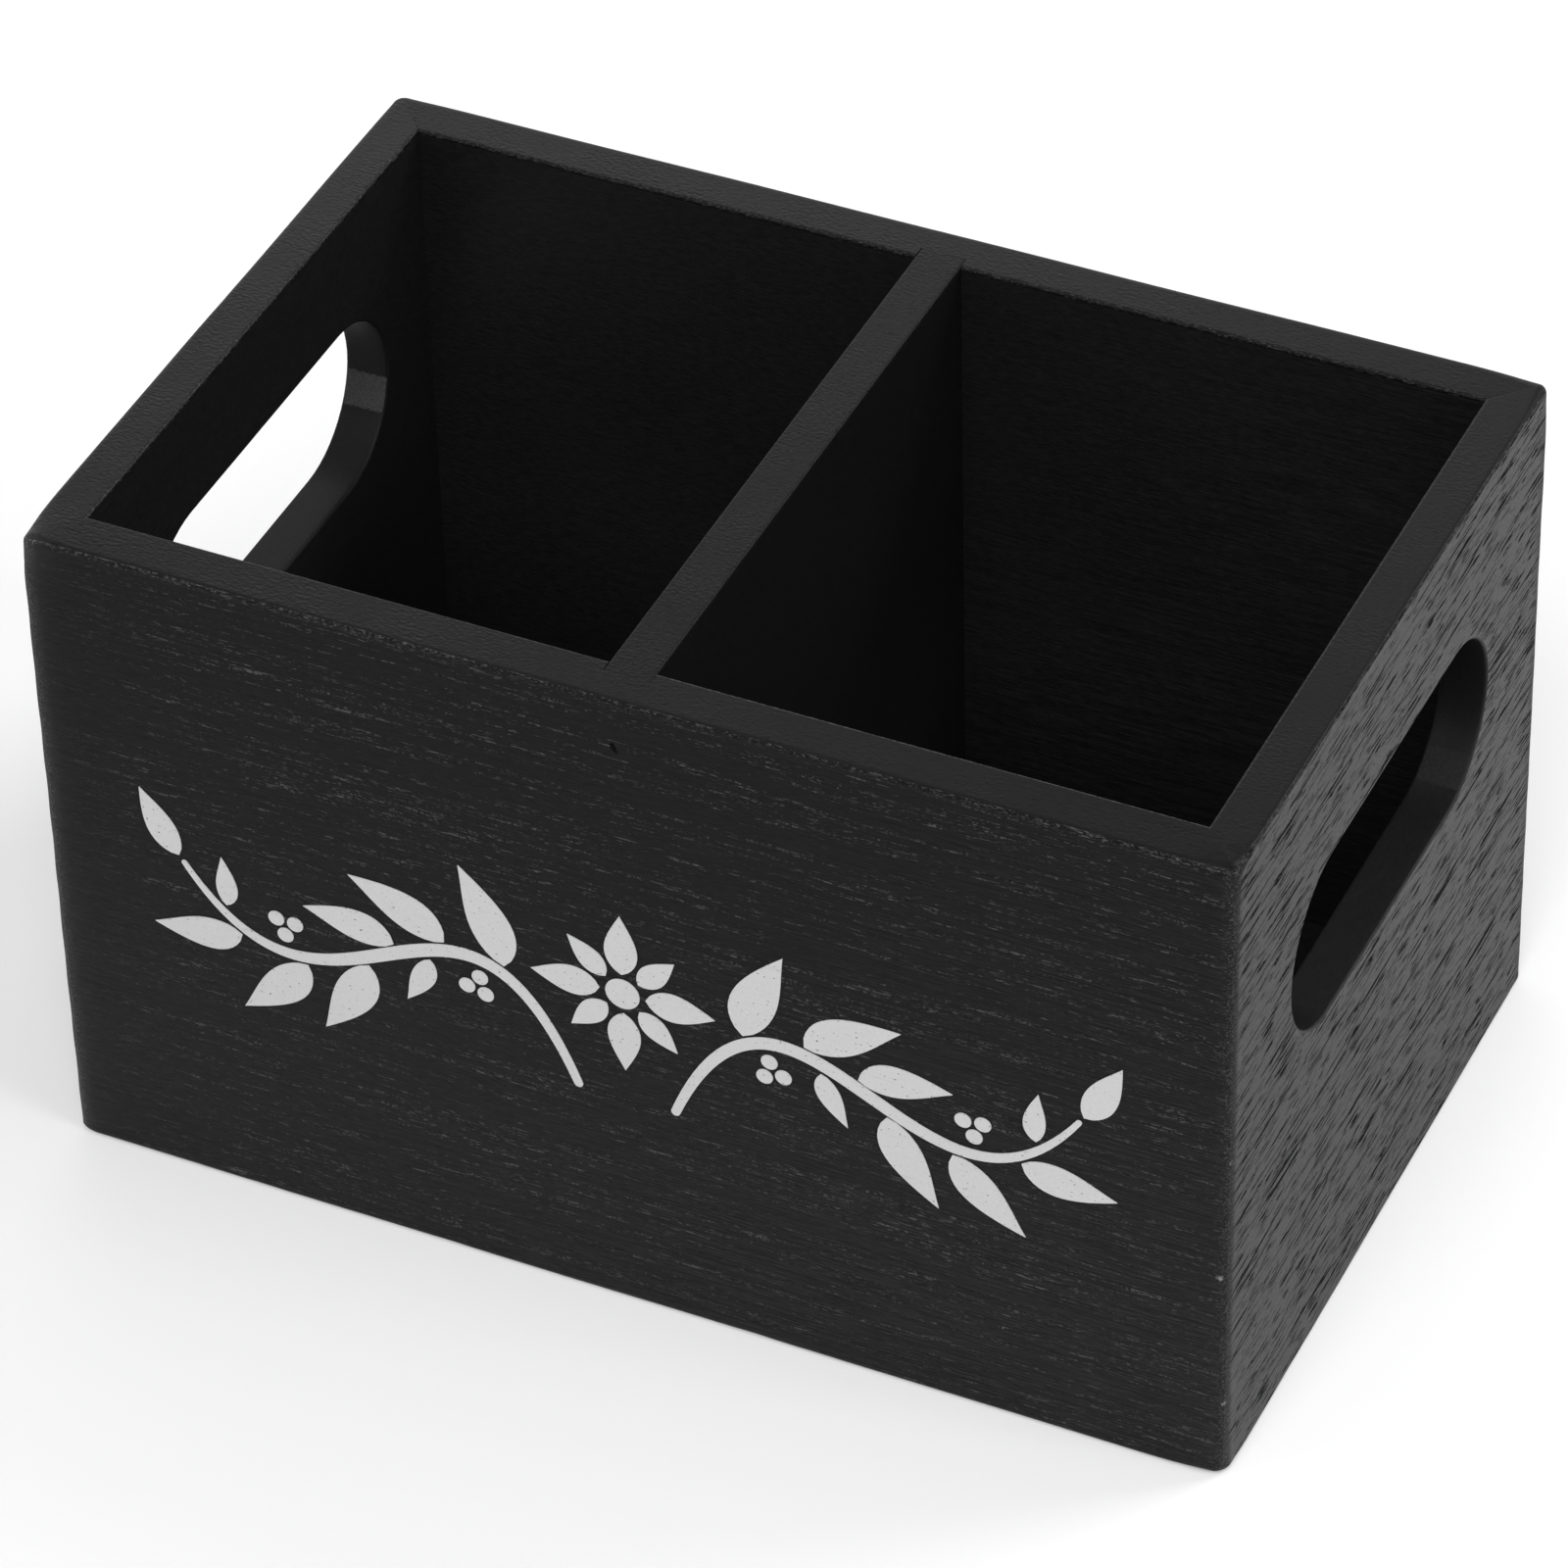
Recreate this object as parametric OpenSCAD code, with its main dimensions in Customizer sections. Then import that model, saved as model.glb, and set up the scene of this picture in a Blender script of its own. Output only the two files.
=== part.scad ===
// Holder for remote controls: an open wooden box with two compartments and a hand hole in each end.
// Four boards meet in mitred corners, a divider is housed in the front and back boards, and a thin
// bottom panel is caught in a groove that runs round the inside. Lengths are in millimetres.
// The origin is on the table under the middle of the box: X runs along the front, Y runs to the back,
// and Z points up.

/* [Box] */
// Outside length, from end board to end board
box_length = 180; // [140:1:240]
// Outside depth, from the front to the back
box_depth = 115; // [90:1:160]
// Outside height, from the table to the rim
box_height = 110; // [85:1:150]

/* [Boards] */
// Thickness of the front and back boards
long_board_t = 7.5; // [6:0.5:12]
// Thickness of the two end boards
end_board_t = 7; // [6:0.5:12]
// Radius of the upright corners, sanded after the boards are glued up
corner_r = 2; // [1:0.25:4]
// Radius of the outer edges along the rim and along the table
edge_r = 1.5; // [0.5:0.25:3]

/* [Divider] */
// Thickness of the divider
divider_t = 7; // [4:0.5:12]
// How far the divider stands to the right of the middle
divider_shift = 0; // [-30:1:30]
// Depth of the housings that hold its ends
housing_depth = 2; // [1:0.5:4]
// Play between the divider and its housings, on each side
housing_play = 0.1; // [0.05:0.05:0.3]

/* [Bottom panel] */
// Thickness of the bottom panel
panel_t = 3; // [2:0.5:5]
// Height of its underside above the table
panel_rise = 3; // [2:0.5:8]
// Depth of the groove that it sits in
groove_depth = 3; // [1.5:0.5:4.5]
// Play between the panel and its groove, at the edges and above
groove_play = 0.2; // [0.1:0.05:0.5]

/* [Hand holes] */
// Length of each hand hole, along the end board
hole_length = 73; // [50:1:85]
// Height of each hand hole
hole_height = 28; // [20:1:36]
// Distance from the rim to the top of the right hand hole
right_hole_drop = 23.5; // [12:0.5:40]
// Distance from the rim to the top of the left hand hole
left_hole_drop = 19; // [12:0.5:40]
// Radius that the lips of the hand holes are eased to
lip_r = 1; // [0.5:0.25:2]

/* [Brads] */
// Diameter of a brad's shank
brad_d = 1.2; // [0.8:0.1:2]
// Diameter of its head
brad_head_d = 1.8; // [1.6:0.1:3]
// Thickness of its head
brad_head_t = 0.6; // [0.4:0.1:1.2]
// Overall length of a brad
brad_length = 20; // [12:1:30]
// Depth that the head is sunk below the face of the board
brad_sink = 0.8; // [0.2:0.1:2]
// Distance from the rim to the brads
brad_drop = 8.4; // [5:0.2:20]
// Play between a brad and its hole, all round
brad_play = 0.05; // [0.02:0.01:0.2]

/* [Ornament] */
// Space between the stems' tips and each end of the front
ornament_margin = 22; // [18:1:40]
// Height of the frame that the stems are drawn in
ornament_height = 46; // [34:1:56]
// Distance from the rim to the middle of that frame
ornament_drop = 54; // [34:1:70]
// Length of the longest leaf
leaf_length = 17; // [10:0.5:18]
// Half the thickness of a stem in the middle of its stroke
stem_half_w = 1.1; // [0.6:0.1:1.6]
// Length of the flower's longer petals
petal_length = 10.5; // [7:0.5:12]
// Radius of a berry
berry_r = 1.25; // [0.8:0.05:1.4]
// Width of the bridges that hold the stencil together
bridge = 0.9; // [0.6:0.1:1.4]
// Thickness of the paint film
film_t = 0.15; // [0.1:0.05:0.5]

/* [Hidden] */
$fn = 64;
// How far a cutter runs past the face that it cuts
past = 1;
black = [0.14, 0.14, 0.145];
silver_white = [0.84, 0.84, 0.83];
steel = [0.45, 0.45, 0.46];

front_y = -box_depth / 2;
right_x = box_length / 2;
inside_x = right_x - end_board_t;
inside_y = box_depth / 2 - long_board_t;
panel_length = 2 * (inside_x + groove_depth - groove_play);
panel_depth = 2 * (inside_y + groove_depth - groove_play);
panel_top = panel_rise + panel_t;
divider_length = 2 * (inside_y + housing_depth - housing_play);
divider_height = box_height - panel_top;

// Shared shapes

// What is taken off a square corner at the origin to round it, where the part lies at +X and +Y
module corner_waste(r) {
    difference() {
        translate([-past, -past]) square(r + past);
        translate([r, r]) circle(r);
    }
}

module rounded_rectangle(size, r) {
    difference() {
        square(size, center = true);
        for (mx = [0, 1], my = [0, 1])
            mirror([mx, 0]) mirror([0, my]) translate(-size / 2) corner_waste(r);
    }
}

// The glued-up box as it is after sanding, without its hollow
module sanded_block() {
    intersection() {
        linear_extrude(box_height) rounded_rectangle([box_length, box_depth], corner_r);
        translate([0, box_depth / 2, box_height / 2]) rotate([90, 0, 0])
            linear_extrude(box_depth) rounded_rectangle([box_length, box_height], edge_r);
        translate([-box_length / 2, 0, box_height / 2]) rotate([90, 0, 90])
            linear_extrude(box_length) rounded_rectangle([box_depth, box_height], edge_r);
    }
}

// The space of the front board, from mitre to mitre
module front_wedge() {
    linear_extrude(box_height) polygon([
        [-right_x, front_y], [right_x, front_y], [inside_x, -inside_y], [-inside_x, -inside_y]
    ]);
}

// The space of the right end board, from mitre to mitre
module right_wedge() {
    linear_extrude(box_height) polygon([
        [right_x, front_y], [right_x, -front_y], [inside_x, inside_y], [inside_x, -inside_y]
    ]);
}

// The groove all round: the panel's space with its play
module panel_groove() {
    translate([0, 0, panel_rise]) linear_extrude(panel_t + groove_play)
        square([panel_length + 2 * groove_play, panel_depth + 2 * groove_play], center = true);
}

// The divider's housings: its space with play, from the groove up through the rim
module divider_housings() {
    translate([divider_shift, 0, panel_rise]) linear_extrude(box_height)
        square([divider_t + 2 * housing_play, divider_length + 2 * housing_play], center = true);
}

// A brad that points to +Y, with its head's outer face at the origin
module brad(play) {
    rotate([-90, 0, 0]) {
        cylinder(d = brad_head_d + 2 * play, h = brad_head_t);
        cylinder(d = brad_d + 2 * play, h = brad_length + play);
    }
}

// The front brad's place, and the back one's by turning about the middle of the divider
module at_brads() {
    for (turn = [0, 180])
        translate([divider_shift, 0, box_height - brad_drop]) rotate([0, 0, turn])
            translate([0, front_y + brad_sink, 0]) children();
}

module brad_holes() {
    at_brads() {
        brad(brad_play);
        rotate([90, 0, 0]) cylinder(d = brad_head_d + 2 * brad_play, h = brad_sink + past);
    }
}

// Long boards, front and back

module long_board(turn) {
    difference() {
        intersection() {
            sanded_block();
            rotate([0, 0, turn]) front_wedge();
        }
        panel_groove();
        divider_housings();
        brad_holes();
    }
}

module front_board() {
    color(black) long_board(0);
}

module back_board() {
    color(black) long_board(180);
}

// End boards, with their hand holes

// Everything that is cut for a hand hole, lying flat with its length along X and its middle at the
// origin. The board lies between z = 0 and z = end_board_t.
module hand_hole_cutter() {
    end_r = hole_height / 2;
    reach = hole_length / 2 - end_r;
    translate([0, 0, -past]) linear_extrude(end_board_t + 2 * past) {
        square([2 * reach, hole_height], center = true);
        for (side = [-1, 1]) translate([side * reach, 0]) circle(end_r);
    }
    for (face = [0, 1])
        translate([0, 0, face * end_board_t]) mirror([0, 0, face]) lip_cutter(end_r, reach);
}

// What rounds one lip of a hand hole, at z = 0 with the board above it
module lip_cutter(end_r, reach) {
    for (turn = [0, 180]) rotate([0, 0, turn]) {
        translate([reach, 0, 0]) rotate([0, 0, -90]) rotate_extrude(angle = 180)
            translate([end_r, 0]) lip_waste();
        translate([-reach, 0, 0]) rotate([90, 0, 90]) linear_extrude(2 * reach)
            translate([end_r, 0]) lip_waste();
    }
}

// Its section, where the hole's wall stands at x = 0
module lip_waste() {
    difference() {
        translate([-past, -past]) square([lip_r + past, lip_r + past]);
        translate([lip_r, lip_r]) circle(lip_r);
    }
}

module end_board(turn, hole_drop) {
    difference() {
        intersection() {
            sanded_block();
            rotate([0, 0, turn]) right_wedge();
        }
        panel_groove();
        rotate([0, 0, turn])
            translate([inside_x, 0, box_height - hole_drop - hole_height / 2])
                rotate([90, 0, 90]) hand_hole_cutter();
    }
}

module right_end_board() {
    color(black) end_board(0, right_hole_drop);
}

module left_end_board() {
    color(black) end_board(180, left_hole_drop);
}

// Inner pieces

module divider() {
    color(black) difference() {
        translate([divider_shift, 0, panel_top]) linear_extrude(divider_height)
            square([divider_t, divider_length], center = true);
        brad_holes();
    }
}

module bottom_panel() {
    color(black) translate([0, 0, panel_rise]) linear_extrude(panel_t)
        square([panel_length, panel_depth], center = true);
}

module divider_brads() {
    color(steel) at_brads() brad(0);
}

// Ornament: two leafy branches that spring from under a flower, painted through a stencil. Leaves,
// berries and petals don't touch their neighbours, because the stencil needs a bridge there.

// Half the width of the frame that the stems are drawn in
frame_x = box_length / 2 - ornament_margin;
frame_y = ornament_height / 2;
// Steps along a leaf's edge, along a stem and round a stem's end
leaf_steps = 16;
stem_steps = 60;
end_steps = 8;
// Control points of the right stem, as shares of the frame's half sizes
stem_shape = [[0.11, -0.74], [0.37, 1.25], [0.67, -1.4], [1, 0.12]];
// Half widths of a stem at its foot and at its tip, where its middle takes stem_half_w
stem_foot = 0.7;
stem_tip = 0.45;
// Leaves on the outside of the bends: place along the stem, side, and share of the longest leaf
outer_leaves = [
    [0.19, 1, 1], [0.33, 1, 0.94], [0.46, 1, 0.82],
    [0.55, -1, 0.92], [0.70, -1, 0.9], [0.85, -1, 0.82]
];
// Small leaves and clusters of berries on the inside
inner_leaves = [[0.39, -1, 0.54], [0.91, 1, 0.5]];
clusters = [[0.25, -1], [0.77, 1]];
outer_angle = 46;
inner_angle = 58;
tip_leaf = [0.7, 0.1];
// Half the width of a leaf, and how far its tip bends aside, as shares of its length
leaf_plump = 0.2;
leaf_bend = 0.2;
// How soon along its length a leaf is broadest: less is sooner
leaf_belly = 0.72;
petals = 8;
petal_plump = 0.24;
short_petal = 0.76;
eye_r = 2.6;
flower_rise = 2;

function turned(p, a) = [p.x * cos(a) - p.y * sin(a), p.x * sin(a) + p.y * cos(a)];
function reversed(points) = [for (i = [len(points) - 1:-1:0]) points[i]];
function inner(points) = [for (i = [1:len(points) - 2]) points[i]];

// The middle line of a stem for t from 0 to 1, its direction in degrees and half its width
function stem_point(t) =
    let (q = [for (p = stem_shape) [p.x * frame_x, p.y * frame_y]], u = 1 - t)
    u * u * u * q[0] + 3 * u * u * t * q[1] + 3 * u * t * t * q[2] + t * t * t * q[3];
function heading(t) =
    let (d = stem_point(min(t + 0.01, 1)) - stem_point(max(t - 0.01, 0)))
    atan2(d.y, d.x);
function half_width(t) =
    let (middle = 2 * stem_half_w - (stem_foot + stem_tip) / 2)
    stem_foot * (1 - t) * (1 - t) + 2 * middle * t * (1 - t) + stem_tip * t * t;

function stem_side(side) = [
    for (i = [0:stem_steps])
        let (t = i / stem_steps)
            stem_point(t) + turned([0, side * half_width(t)], heading(t))
];
function stem_end(t, from) = [
    for (i = [1:end_steps - 1])
        stem_point(t) + turned([half_width(t), 0], heading(t) + from - 180 * i / end_steps)
];

module stem() {
    polygon(concat(stem_side(1), stem_end(1, 90), reversed(stem_side(-1)), stem_end(0, -90)));
}

// One edge of a leaf that grows from the origin along X
function leaf_edge(size, plump, bend, side) = [
    for (i = [0:leaf_steps])
        let (t = i / leaf_steps)
            size * [t, bend * t * t + side * plump * sin(180 * pow(t, leaf_belly))]
];

module leaf(size, plump, bend) {
    left = leaf_edge(size, plump, bend, 1);
    right = leaf_edge(size, plump, bend, -1);
    polygon(concat(left, reversed(inner(right))));
}

module on_stem(t) {
    translate(stem_point(t)) rotate(heading(t)) children();
}

module stem_leaf(row, angle) {
    on_stem(row[0]) rotate(row[1] * angle) translate([half_width(row[0]) + bridge, 0])
        leaf(row[2] * leaf_length, leaf_plump, -row[1] * leaf_bend);
}

// Three berries that stand half a bridge apart, beside the stem
module berries(side) {
    spread = (2 * berry_r + bridge / 2) / sqrt(3);
    translate([0, side * (half_width(0.5) + bridge + berry_r + spread)])
        for (turn = [0:120:240]) rotate(turn - side * 90) translate([spread, 0]) circle(berry_r);
}

module branch() {
    stem();
    for (row = outer_leaves) stem_leaf(row, outer_angle);
    for (row = inner_leaves) stem_leaf(row, inner_angle);
    for (row = clusters) on_stem(row[0]) berries(row[1]);
    on_stem(1) translate([stem_tip + bridge, 0])
        leaf(tip_leaf[0] * leaf_length, leaf_plump, tip_leaf[1]);
}

module flower() {
    circle(eye_r);
    for (i = [0:petals - 1])
        rotate(360 * i / petals) translate([eye_r + bridge, 0])
            leaf(petal_length * (i % 2 == 0 ? 1 : short_petal), petal_plump, 0);
}

module front_ornament() {
    color(silver_white)
        translate([0, front_y, box_height - ornament_drop]) rotate([90, 0, 0])
            linear_extrude(film_t) {
                translate([0, flower_rise]) flower();
                for (m = [0, 1]) mirror([m, 0]) branch();
            }
}

front_board();
back_board();
left_end_board();
right_end_board();
divider();
bottom_panel();
divider_brads();
front_ornament();
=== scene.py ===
# %% [markdown]
# # A holder for remote controls, in black paint over open-grained wood
# The real holder is a small box without a lid: two long boards and two end boards glued up at
# mitred corners, a divider between them, a thin bottom, and a hand hole in each end. This lesson
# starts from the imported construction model, which fixes every size, and dresses it: boards with
# sanded edges, carved grain and paint, a stencilled ornament and small nails.

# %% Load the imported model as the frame
import math
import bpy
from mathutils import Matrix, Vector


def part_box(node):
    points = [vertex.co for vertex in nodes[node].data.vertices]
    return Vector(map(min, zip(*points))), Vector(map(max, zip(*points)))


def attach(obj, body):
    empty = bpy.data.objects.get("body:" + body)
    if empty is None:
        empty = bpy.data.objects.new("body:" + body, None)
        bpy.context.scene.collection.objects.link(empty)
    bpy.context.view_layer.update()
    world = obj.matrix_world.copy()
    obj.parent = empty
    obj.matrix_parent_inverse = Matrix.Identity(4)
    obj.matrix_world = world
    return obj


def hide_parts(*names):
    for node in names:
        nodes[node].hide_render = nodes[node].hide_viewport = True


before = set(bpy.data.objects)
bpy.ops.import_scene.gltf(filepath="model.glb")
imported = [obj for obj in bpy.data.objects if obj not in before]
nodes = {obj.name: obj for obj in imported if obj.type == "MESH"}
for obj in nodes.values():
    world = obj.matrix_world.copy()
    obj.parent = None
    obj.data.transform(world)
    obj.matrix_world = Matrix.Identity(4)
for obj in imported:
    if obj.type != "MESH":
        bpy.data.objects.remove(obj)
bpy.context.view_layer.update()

from types import SimpleNamespace

import bmesh
import bpy
import numpy as np
from mathutils import Matrix, Vector

print("nodes:", sorted(nodes))

# %% [markdown]
# ## Sizes
# Blender counts in metres, but a joiner counts in millimetres, so the boards are drawn in
# millimetres and scaled once at the end. What the construction model knows is asked from it; only
# the hand holes are typed, because a box round a board doesn't say where its hole is.

# %% Sizes in millimetres
MM = 0.001


def span(node):
    """Lowest and highest corner of a node, in millimetres."""
    low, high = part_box(node)
    return np.array(low) / MM, np.array(high) / MM


half_length = span("right_end_board")[1][0]
half_depth = -span("front_board")[0][1]
height = span("front_board")[1][2]
long_board_t = span("front_board")[1][1] + half_depth
end_board_t = half_length - span("right_end_board")[0][0]
panel_low, panel_high = span("bottom_panel")[0][2], span("bottom_panel")[1][2]
groove_depth = 3.0
housing_depth = 2.0
divider_half = span("divider")[1][0]
hole_half_length, hole_half_height, lip = 36.5, 14.0, 0.45
hole_heights = {"right": 72.5, "left": 77.0}
brad_low, brad_high = span("divider_brads")
brad_height = (brad_low[2] + brad_high[2]) / 2
brad_sink = brad_low[1] + half_depth
print(f"box {2 * half_length:.0f} x {2 * half_depth:.0f} x {height:.0f} mm")
print(f"long boards {long_board_t:.1f} mm, end boards {end_board_t:.1f} mm")
print(f"brads {brad_height:.1f} mm up, sunk {brad_sink:.1f} mm")

# %% [markdown]
# ## Camera
# The picture was taken from the front right, looking down at about 40 degrees with a long lens, so
# the box's edges hardly converge. Place, direction and roll come from fitting a camera to the
# straight edges of the box. A rotation written from the three camera axes shows what it does.

# %% Camera
camera_place = Vector((0.3723, -0.7732, 0.7650))
camera_turn, camera_tilt, camera_roll = (math.radians(a) for a in (25.856, 39.74, -1.605))
look = Vector((
    -math.sin(camera_turn) * math.cos(camera_tilt),
    math.cos(camera_turn) * math.cos(camera_tilt),
    -math.sin(camera_tilt),
))
level_right = look.cross(Vector((0, 0, 1))).normalized()
level_up = level_right.cross(look)
camera_right = math.cos(camera_roll) * level_right + math.sin(camera_roll) * level_up
camera_up = camera_right.cross(look)
camera = bpy.data.objects.new("camera", bpy.data.cameras.new("camera"))
camera.data.sensor_width = 36
camera.data.lens = 179.59
camera_axes = Matrix((camera_right, camera_up, -look)).transposed().to_4x4()
camera.matrix_world = Matrix.Translation(camera_place) @ camera_axes
bpy.context.scene.collection.objects.link(camera)
bpy.context.scene.camera = camera
print("camera", round((camera_place - Vector((0, 0, 0.055))).length, 3), "m from the box")

# %% [markdown]
# ## Building node trees
# Materials and geometry trees are both graphs of nodes. Two small helpers keep them readable: one
# adds a node and fills its inputs, linking those that are sockets, and one writes a sum as a call.

# %% Helpers for node trees


def add(tree, kind, inputs=None, **settings):
    """Adds a node. An input that is a socket is linked, and any other is a value."""
    node = tree.nodes.new(kind)
    for name, value in settings.items():
        setattr(node, name, value)
    for key, value in (inputs or {}).items():
        if isinstance(value, bpy.types.NodeSocket):
            tree.links.new(value, node.inputs[key])
        else:
            node.inputs[key].default_value = value
    return node


def sum_of(tree, operation, *values):
    return add(tree, "ShaderNodeMath", dict(enumerate(values)), operation=operation).outputs[0]


def vector_of(tree, operation, *values):
    node = add(tree, "ShaderNodeVectorMath", dict(enumerate(values)), operation=operation)
    return node.outputs[0]


def ramp(tree, value, start, end, low=0.0, high=1.0):
    """Goes smoothly from low to high while value goes from start to end."""
    inputs = {"Value": value, "From Min": start, "From Max": end, "To Min": low, "To Max": high}
    return add(tree, "ShaderNodeMapRange", inputs, interpolation_type="SMOOTHSTEP").outputs[0]


def noise(tree, place, detail=2.0, scale=1.0, roughness=0.5):
    inputs = {"Vector": place, "Scale": scale, "Detail": detail, "Roughness": roughness}
    return add(tree, "ShaderNodeTexNoise", inputs)


print("helpers ready")

# %% [markdown]
# ## Studio
# A plain pale floor and a white surrounding give soft light from all sides, as in a light tent.
# Wide lamps in front, above and at the sides set the level of each face. Two small ones stand low
# behind the box and to its left, so low that only the far part of the rim mirrors them: in the
# picture the rim grows brighter towards the back. All are weak, so every colour keeps its level.

# %% Floor and surroundings
stage_mesh = bpy.data.meshes.new("floor")
stage_mesh.from_pydata([(-3, -3, 0), (3, -3, 0), (3, 3, 0), (-3, 3, 0)], [], [(0, 1, 2, 3)])
floor = bpy.data.objects.new("floor", stage_mesh)
bpy.context.scene.collection.objects.link(floor)
floor_finish = bpy.data.materials.new("pale_floor")
floor_finish.use_nodes = True
floor_shader = floor_finish.node_tree.nodes["Principled BSDF"]
floor_shader.inputs["Base Color"].default_value = (0.9, 0.9, 0.9, 1)
floor_shader.inputs["Roughness"].default_value = 0.9
floor_shader.inputs["Specular IOR Level"].default_value = 0.1
floor_shader.inputs["Emission Color"].default_value = (1, 1, 1, 1)
floor_tree = floor_finish.node_tree
seen = add(floor_tree, "ShaderNodeLightPath").outputs["Is Camera Ray"]
glow = ramp(floor_tree, seen, 0, 1, 0.0, 0.12)
floor_tree.links.new(glow, floor_shader.inputs["Emission Strength"])
stage_mesh.materials.append(floor_finish)

ambient_level = 0.2
world = bpy.data.worlds.new("surroundings")
bpy.context.scene.world = world
world.use_nodes = True
sky = world.node_tree
seen_by = add(sky, "ShaderNodeLightPath").outputs
shown = seen_by["Is Camera Ray"]
for ray in ("Is Glossy Ray", "Is Transmission Ray"):
    shown = sum_of(sky, "MAXIMUM", shown, seen_by[ray])
backdrop = sky.nodes["Background"]
backdrop.inputs["Color"].default_value = (1, 1, 1, 1)
sky.links.new(ramp(sky, shown, 0, 1, ambient_level, 1.0), backdrop.inputs["Strength"])
bpy.context.scene.view_settings.view_transform = "Standard"
print("ambient level", ambient_level)

# %% Lamps


def soft_lamp(name, place, aim, size, watts):
    """A soft lamp, so wide and so high, that faces a point."""
    light = bpy.data.lights.new(name, "AREA")
    light.shape = "RECTANGLE"
    light.size, light.size_y = size
    light.energy = watts
    lamp = bpy.data.objects.new(name, light)
    lamp.location = place
    lamp.rotation_euler = (Vector(aim) - Vector(place)).to_track_quat("-Z", "Y").to_euler()
    bpy.context.scene.collection.objects.link(lamp)
    return lamp


middle = (0, 0, 0.05)
lamps = [
    soft_lamp("lamp_front", (0.3, -1.3, 1.5), middle, (1.0, 1.0), 20),
    soft_lamp("lamp_left", (-1.3, -0.8, 1.0), middle, (0.8, 0.8), 3.5),
    soft_lamp("lamp_above", (0.0, 0.0, 1.6), middle, (1.2, 1.2), 3.5),
    soft_lamp("lamp_right", (1.5, -0.2, 0.8), middle, (0.8, 0.8), 10.5),
    soft_lamp("lamp_behind_right", (1.0, 1.0, 1.2), middle, (0.8, 0.8), 11),
    soft_lamp("lamp_back_rim", (-0.15, 0.38, 0.30), (-0.03, 0.05, 0.11), (0.34, 0.12), 0.2),
    soft_lamp("lamp_left_rim", (-0.34, 0.26, 0.30), (-0.08, 0.0, 0.11), (0.12, 0.3), 0.045),
]
lamps[-2].visible_camera = lamps[-1].visible_camera = False
for lamp in lamps:
    print(lamp.name, round(lamp.data.energy, 2), "W")

# %% [markdown]
# ## Grain
# The wood has open pores: short strokes along the grain, strung out in rows. The paint is too thin
# to fill them. The pattern is solid, cut from space as a board is cut from a log, so strokes run on
# round an edge and turn into dots on end grain. Each board stretches it along its own length. A
# pore lies where fine streaky noise peaks, and a second, longer noise says where pores are many.

# %% The grain pattern


def stretched(along, across, axis):
    """A size for each of X, Y and Z: the long one lies along the grain."""
    return [along if i == axis else across for i in range(3)]


def streaks(tree, place, axis, along, across, detail=2.0):
    """Noise drawn out along the grain, about 0.2 to 0.8."""
    place = vector_of(tree, "DIVIDE", place, stretched(along, across, axis))
    return noise(tree, place, detail).outputs[0]


def pores(tree, place, axis, size, least, crowded, spread=0.07, detail=1.0):
    """Open pores, 0 to 1: the peaks of fine streaks, more of them where the wood is crowded."""
    grain = streaks(tree, place, axis, *size, detail)
    start = ramp(tree, crowded, 0.4, 0.6, least + spread, least)
    depth = sum_of(tree, "DIVIDE", sum_of(tree, "SUBTRACT", grain, start), 0.012)
    return ramp(tree, depth, 0.0, 1.0)


def wandering(tree, place, axis, far):
    """The place, pushed about a little, so that the grain isn't ruled with a ruler."""
    drift = noise(tree, vector_of(tree, "DIVIDE", place, stretched(50, 14, axis)), 1).outputs[0]
    drift = vector_of(tree, "SUBTRACT", drift, (0.5, 0.5, 0.5))
    return vector_of(tree, "MULTIPLY_ADD", drift, (far, far, far), place)


print("grain pattern ready")

# %% [markdown]
# ## Black paint
# A thin matt black, brushed or sprayed, follows every pore. Its own colour is almost nothing;
# what the eye sees is the weak gloss of the paint, strongest on the end board, which is seen at a
# slant. In a pore the paint is dead matt, and on the end board its colour there is darkened as
# painted shade, so the end board has dark strokes in a pale sheen; on the front the pores carry
# pale specks in the colour instead, painted glints on their lips. The rim was sanded after
# glue-up, along the whole box, so there short scratches along X take the place of pores. Other
# marks lie where a layer of numbers on the mesh says so: the walls of the holes, torn grain, worn
# and chipped edges, smudges, and pores that are filled up. Some of these carry painted light as
# well: the lighter torn patches, the pale edges of the front, and a lighter band down its left
# edge.

# %% Helpers for paint
X_GRAIN, Y_GRAIN = 0, 1


def millimetre_place(tree):
    """The point on the piece, in millimetres."""
    place = add(tree, "ShaderNodeTexCoord").outputs["Object"]
    return vector_of(tree, "MULTIPLY", place, (1 / MM, 1 / MM, 1 / MM))


def attribute(tree, name):
    return add(tree, "ShaderNodeAttribute", attribute_name=name).outputs["Fac"]


def mixed(tree, share, first, second):
    return add(tree, "ShaderNodeMix", {0: share, 2: first, 3: second}).outputs[0]


def grey(tree, tone):
    return add(tree, "ShaderNodeCombineColor", {0: tone, 1: tone, 2: tone}).outputs[0]


def relief(tree, height_in_mm):
    lift = sum_of(tree, "MULTIPLY", height_in_mm, MM)
    inputs = {"Height": lift, "Distance": 1.0, "Strength": 1.0}
    return add(tree, "ShaderNodeBump", inputs).outputs[0]


print("grains run along axis", X_GRAIN, "or", Y_GRAIN)

# %% What the paint reads at a point
LAYERS = ("open_grain", "hole_wall", "torn_grain", "torn_tone", "worn", "edge", "chipped",
          "smudged", "filled")
SIZES = {"fibre": (1.6, 0.25), "rib": (12, 0.3), "nick": (2.2, 0.5), "scratch": (0.8, 0.5),
         "fleck": (0.7, 0.15)}


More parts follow.
